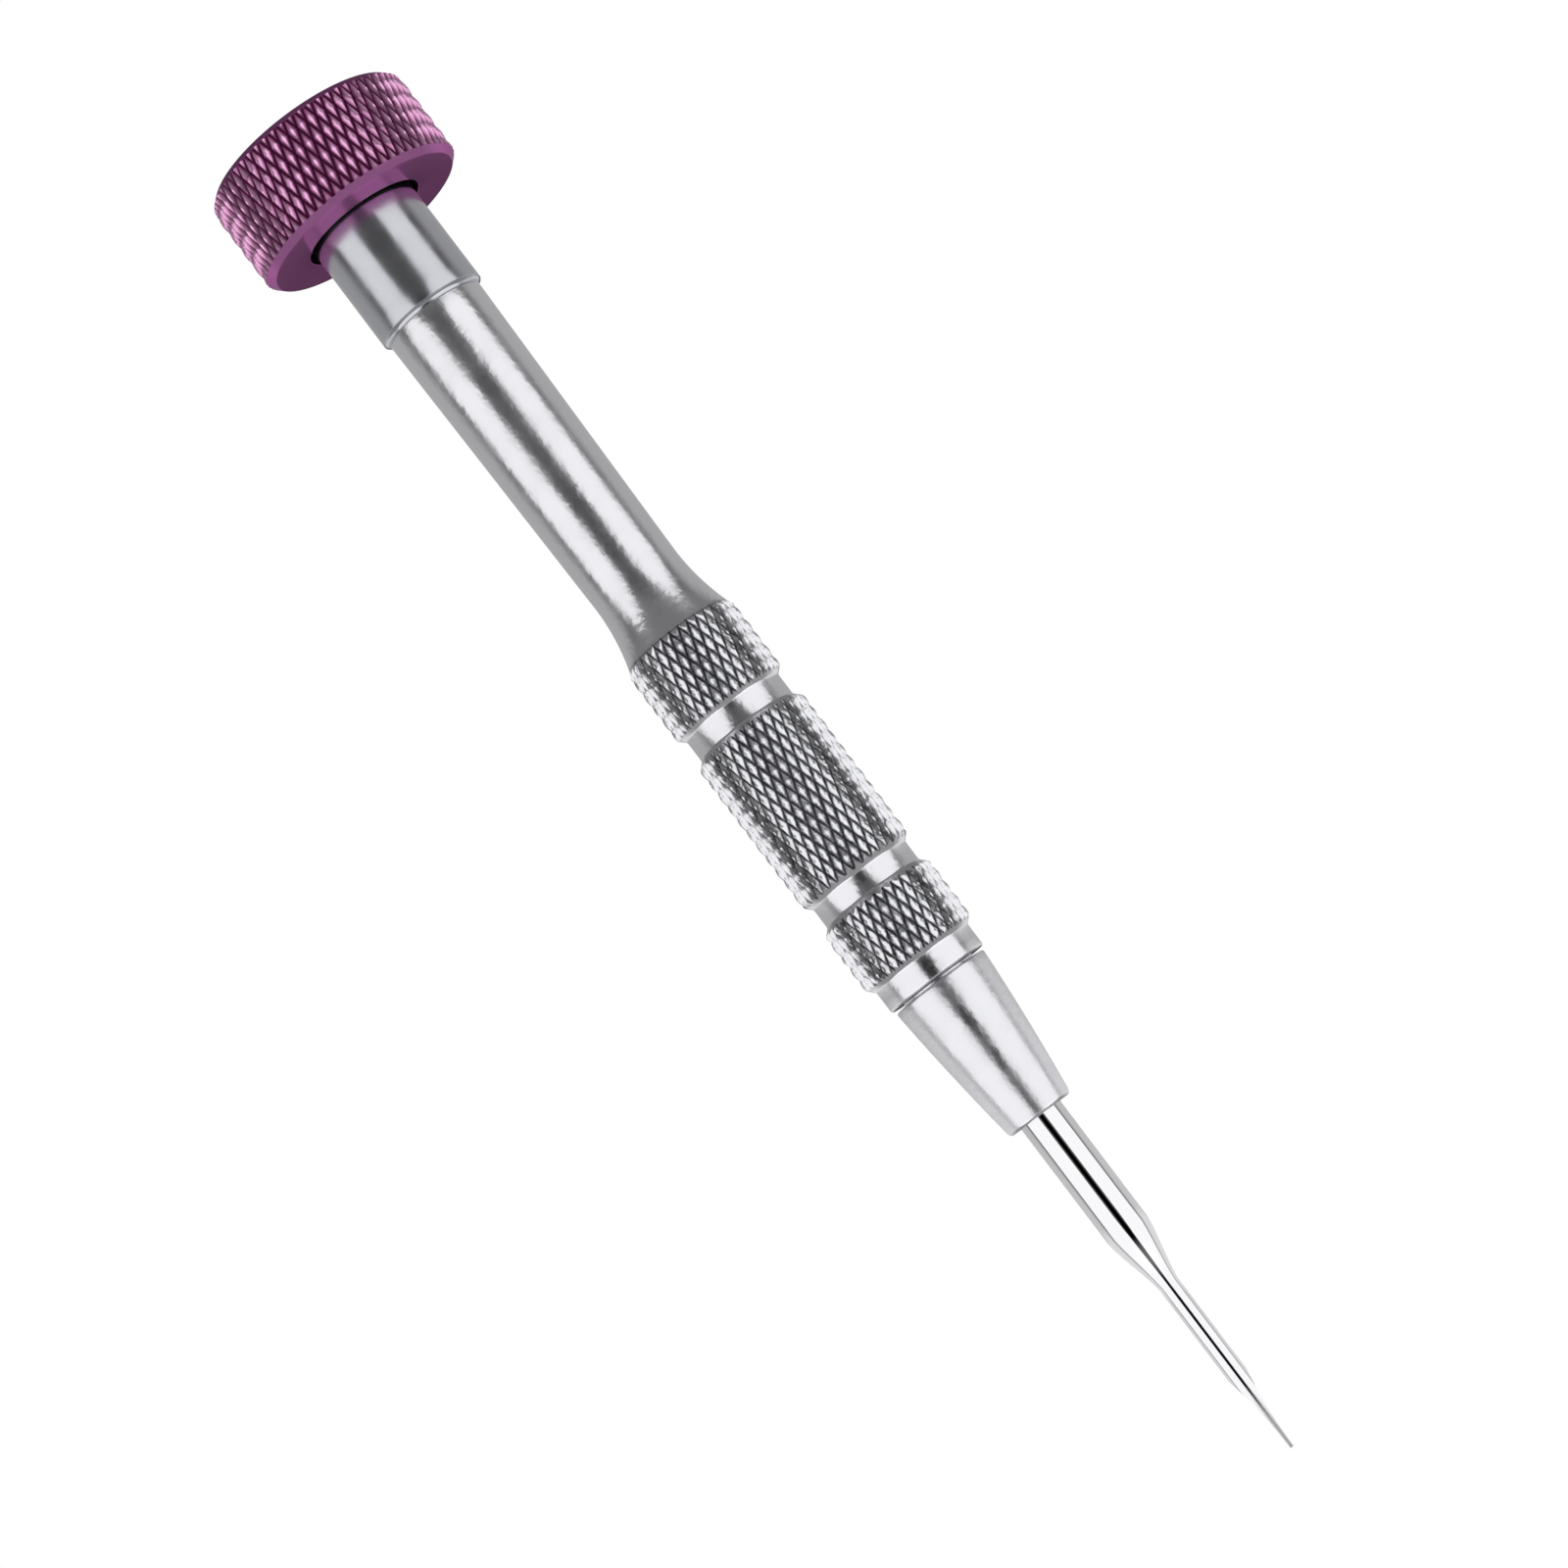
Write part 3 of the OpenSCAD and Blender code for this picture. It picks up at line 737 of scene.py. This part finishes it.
class BuildNose(bpy.types.Operator):
    """Turns the nose cone that closes the collet"""

    bl_idname = "screwdriver.nose"
    bl_label = "Nose cone"

    def execute(self, context):
        s = context.scene.nose_sizes
        c = context.scene.finishes
        front_r = s.front_d / 2
        hole_r = SHANK_R + 0.1 * MM
        long = NOSE_BACK - NOSE_FRONT
        corner = 0.35 * MM  # rounding at the front
        thread_end = SPIGOT_END - 0.25 * MM
        rest_r = JAW_R + 0.03 * MM
        bore_r = SHANK_R + 1.33 * MM
        cone_low = JAW_MOUTH - 0.3 * MM
        cone_high = JAW_MOUTH + 3.45 * MM
        cone_r = SHANK_R + 0.247 * MM

        def side(t):
            return front_r + (NOSE_BACK_R - front_r) * t + 4 * s.bow * t * (1 - t)

        outline = [(hole_r, cone_low), (hole_r, NOSE_FRONT)]
        steps = 4
        for i in range(steps + 1):
            angle = math.radians(-90 + 90 * i / steps)
            outline.append(
                (
                    side(corner / long) - corner + corner * math.cos(angle),
                    NOSE_FRONT + corner + corner * math.sin(angle),
                )
            )
        parts = 20
        outline += [(side(i / parts), NOSE_FRONT + long * i / parts) for i in range(2, parts)]
        outline += [
            (side(1) - 0.01 * MM, NOSE_BACK - BREAK),
            (side(1) - BREAK, NOSE_BACK),
            (bore_r, NOSE_BACK),
            (bore_r, thread_end),
            (rest_r, thread_end),
            (rest_r, cone_high),
            (cone_r, cone_low),
        ]
        piece = turn_piece("nose", outline, loop=True)
        # the barrel's satin, a little duller
        satin = lathe_metal(
            "satin turned nose aluminium", c.aluminium, 0.26, 1.5 * MICRON, 24 * MICRON, 0.6
        )
        finish_piece(piece, "nose", "turned_aluminium", (satin,), "nose_cone")
        return {"FINISHED"}


class BuildBlade(bpy.types.Operator):
    """Turns the blade and grinds its tip hollow"""

    bl_idname = "screwdriver.blade"
    bl_label = "Blade"

    def execute(self, context):
        s = context.scene.nose_sizes
        c = context.scene.finishes
        rod_r = s.rod_d / 2
        neck = NOSE_FRONT - s.shank_show
        outline = [
            (SHANK_R - CHAMFER, BLADE_BACK),
            (SHANK_R, BLADE_BACK - CHAMFER),
            (SHANK_R, neck),
        ]
        parts = 18
        for i in range(1, parts + 1):
            t = i / parts
            # part straight and part eased, so that the neck's two corners are soft
            share = 0.6 * t + 0.4 * (3 * t * t - 2 * t**3)
            outline.append((SHANK_R + (rod_r - SHANK_R) * share, neck - s.neck_len * t))
        outline.append((rod_r, TIP))
        piece = turn_piece("blade_and_tip", outline, around=96)
        # tangent to the tip's face at the edge, and out through the rod's side after grind_len
        wheel_r = (s.grind_len**2 + (rod_r - s.tip_t / 2) ** 2) / (s.rod_d - s.tip_t)
        for side in (-1, 1):
            clear_selection()
            bpy.ops.mesh.primitive_cylinder_add(
                vertices=1024,
                radius=wheel_r,
                depth=4 * MM,
                location=(side * (wheel_r + s.tip_t / 2), 0, TIP),
                rotation=(math.pi / 2, 0, 0),
            )
            wheel = bpy.context.object
            bpy.ops.object.transform_apply(location=True, rotation=True, scale=True)
            machine(piece, wheel, "DIFFERENCE")
        # a mirror finish that shows the room's dark strips as a line, and a dull ground tip
        polished = lathe_metal(
            "polished tool steel",
            c.blade,
            0.035,
            0.1 * MICRON,
            1 * MICRON,
            2.0,
            ground=(TIP + 0.4 * s.grind_len, TIP + s.grind_len, 0.42),
        )
        finish_piece(piece, "blade", "blade_steel", (polished,), "blade")
        return {"FINISHED"}


class FinishInside(bpy.types.Operator):
    """Gives the pieces inside the tool their finishes"""

    bl_idname = "screwdriver.inside"
    bl_label = "Inner pieces"

    def execute(self, context):
        c = context.scene.finishes
        # mirror-like races and balls
        ground = lathe_metal("ground bearing steel", c.spring, 0.12, 0.2 * MICRON, MICRON)
        # plain clean sheet and wire
        bright = lathe_metal("bright spring steel", c.spring, 0.25, 0.5 * MICRON, 2 * MICRON)
        # warm yellow against the steel
        brass = lathe_metal("turned brass", c.brass, 0.25, MICRON, 3 * MICRON)
        # near-black, with a soft shine
        black = lathe_metal("blackened steel", c.black, 0.35, 0.5 * MICRON, 3 * MICRON)
        finishes = {
            ground: ("bearing_inner_ring", "bearing_outer_ring", "bearing_balls"),
            bright: (
                "bearing_shim",
                "shield_upper",
                "shield_lower",
                "shield_ring_upper",
                "shield_ring_lower",
                "spindle_washer",
                "collet_spring",
            ),
            brass: ("bearing_cage", "collet"),
            black: ("spindle_screw", "collet_key_pin", "blade_stop_screw"),
        }
        for material, names in finishes.items():
            for name in names:
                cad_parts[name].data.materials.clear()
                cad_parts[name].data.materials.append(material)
        return {"FINISHED"}


# ---------------------------------------------------------------- stage


def softbox(name, azimuth, elevation, distance, size, glow):
    """A flat oval of soft light that faces the handle. azimuth turns from the camera's side."""
    az, el = math.radians(azimuth), math.radians(elevation)
    away = Vector((math.sin(az) * math.cos(el), -math.cos(az) * math.cos(el), math.sin(el)))
    data = bpy.data.lights.new(name, "AREA")
    data.shape = "ELLIPSE"
    data.size, data.size_y = size
    data.energy = glow * math.pi * math.pi / 4 * size[0] * size[1]
    lamp = bpy.data.objects.new(name, data)
    bpy.context.scene.collection.objects.link(lamp)
    turned = away.to_track_quat("Z", "Y").to_matrix()
    lamp.matrix_world = Matrix.Translation(away * distance) @ turned.to_4x4()


class BuildStage(bpy.types.Operator):
    """Sets the floor, the soft light and the camera"""

    bl_idname = "screwdriver.stage"
    bl_label = "Stage"

    def execute(self, context):
        clear_selection()
        # below the tip even when the blade is drawn right out
        bpy.ops.mesh.primitive_plane_add(size=8, location=(0, 0, TIP - DRAWN_OUT))
        floor = context.object
        floor.name = "floor"
        bpy.ops.object.transform_apply(location=True, rotation=True, scale=True)
        paper = bpy.data.materials.new("white paper")
        paper.use_nodes = True
        skin = paper.node_tree.nodes["Principled BSDF"]
        skin.inputs["Base Color"].default_value = (*linear("#f4f4f4"), 1)
        skin.inputs["Roughness"].default_value = 0.9
        skin.inputs["Emission Color"].default_value = (1, 1, 1, 1)
        skin.inputs["Emission Strength"].default_value = 0.85
        floor.data.materials.append(paper)
        floor.visible_glossy = False
        floor.visible_shadow = False

        for side in (-1, 1):
            softbox(f"softbox_{side + 1}", side * 51, -14, 1.0, (1.45, 1.93), 1.0)

        world = bpy.data.worlds.new("studio")
        world.use_nodes = True
        context.scene.world = world
        tree = world.node_tree
        tree.nodes.clear()
        way = add_node(tree, "ShaderNodeTexCoord").outputs["Generated"]
        apart = add_node(tree, "ShaderNodeSeparateXYZ", inputs={"Vector": way})
        # the room in front is dim; behind is bright paper, brightest low down near the floor
        paper_glow = ramp(tree, apart.outputs["Z"], -0.1, 0.04, 0.8, 0.45, "LINEAR")
        behind = ramp(tree, apart.outputs["Y"], -0.15, 0.3, 0.1, paper_glow)
        # dark strips between the softboxes, in front and behind, give a polished round its black
        # line; they end a little above eye level
        aside = add_node(tree, "ShaderNodeMath", {"operation": "ABSOLUTE"}, {0: apart.outputs["X"]})
        off_strip = ramp(tree, aside.outputs[0], 0.13, 0.2)
        over_strip = ramp(tree, apart.outputs["Z"], 0.04, 0.12)
        strip = add_node(
            tree, "ShaderNodeMath", {"operation": "MAXIMUM"}, {0: off_strip, 1: over_strip}
        )
        behind = add_node(
            tree, "ShaderNodeMath", {"operation": "MULTIPLY"}, {0: behind, 1: strip.outputs[0]}
        )
        # an even grey from far below and far above
        below = ramp(tree, apart.outputs["Z"], -0.35, -0.6)
        above = ramp(tree, apart.outputs["Z"], 0.35, 0.5)
        room = add_node(tree, "ShaderNodeMix", inputs={0: below, 2: behind.outputs[0], 3: 0.3})
        room = add_node(tree, "ShaderNodeMix", inputs={0: above, 2: room.outputs[0], 3: 0.2})
        # the camera sees plain white, whatever the metal reflects
        seen = add_node(tree, "ShaderNodeLightPath").outputs["Is Camera Ray"]
        glow = add_node(tree, "ShaderNodeMix", inputs={0: seen, 2: room.outputs[0], 3: 1.0})
        light = add_node(
            tree,
            "ShaderNodeBackground",
            inputs={"Color": (1, 1, 1, 1), "Strength": glow.outputs[0]},
        )
        add_node(tree, "ShaderNodeOutputWorld", inputs={"Surface": light.outputs[0]})
        context.scene.view_settings.view_transform = "Standard"

        lens = bpy.data.cameras.new("camera")
        lens.lens = 88.3
        lens.clip_start = 10 * MM
        camera = bpy.data.objects.new("camera", lens)
        context.scene.collection.objects.link(camera)
        # a little below the tool's middle and looking up at it, rolled so that the tool leans
        pitch, lean = math.radians(6), math.radians(52.87)
        distance = 281 * MM
        ahead = Vector((0, math.cos(pitch), math.sin(pitch)))
        across = Vector((1, 0, 0))
        up = across.cross(ahead)
        right = across * math.sin(lean) - up * math.cos(lean)
        top = across * math.cos(lean) + up * math.sin(lean)
        aim = Vector((-0.35 * MM, 0, 16.25 * MM))
        turned = Matrix((right, top, -ahead)).transposed().to_4x4()
        camera.matrix_world = Matrix.Translation(aim - ahead * distance) @ turned
        context.scene.camera = camera
        return {"FINISHED"}


class ScrewdriverPanel(bpy.types.Panel):
    """Lists the pieces of the screwdriver"""

    bl_idname = "VIEW3D_PT_screwdriver"
    bl_label = "Screwdriver"
    bl_space_type = "VIEW_3D"
    bl_region_type = "UI"
    bl_category = "Screwdriver"

    def draw(self, context):
        for operator in OPERATORS:
            self.layout.operator(operator.bl_idname)


OPERATORS = (BuildBarrel, BuildCollar, BuildCap, BuildNose, BuildBlade, FinishInside, BuildStage)
SIZES = {
    "barrel_sizes": BarrelSizes,
    "cap_sizes": CapSizes,
    "nose_sizes": NoseSizes,
    "finishes": Finishes,
}


def register():
    for kind in (*SIZES.values(), *OPERATORS, ScrewdriverPanel):
        bpy.utils.register_class(kind)
    for name, kind in SIZES.items():
        setattr(bpy.types.Scene, name, PointerProperty(type=kind))


def unregister():
    for name in SIZES:
        delattr(bpy.types.Scene, name)
    for kind in (ScrewdriverPanel, *reversed(OPERATORS), *reversed(list(SIZES.values()))):
        bpy.utils.unregister_class(kind)


def main():
    register()
    bpy.ops.screwdriver.stage()
    bpy.ops.screwdriver.barrel()
    bpy.ops.screwdriver.collar()
    bpy.ops.screwdriver.cap()
    bpy.ops.screwdriver.nose()
    bpy.ops.screwdriver.blade()
    bpy.ops.screwdriver.inside()


if __name__ == "__main__":
    main()
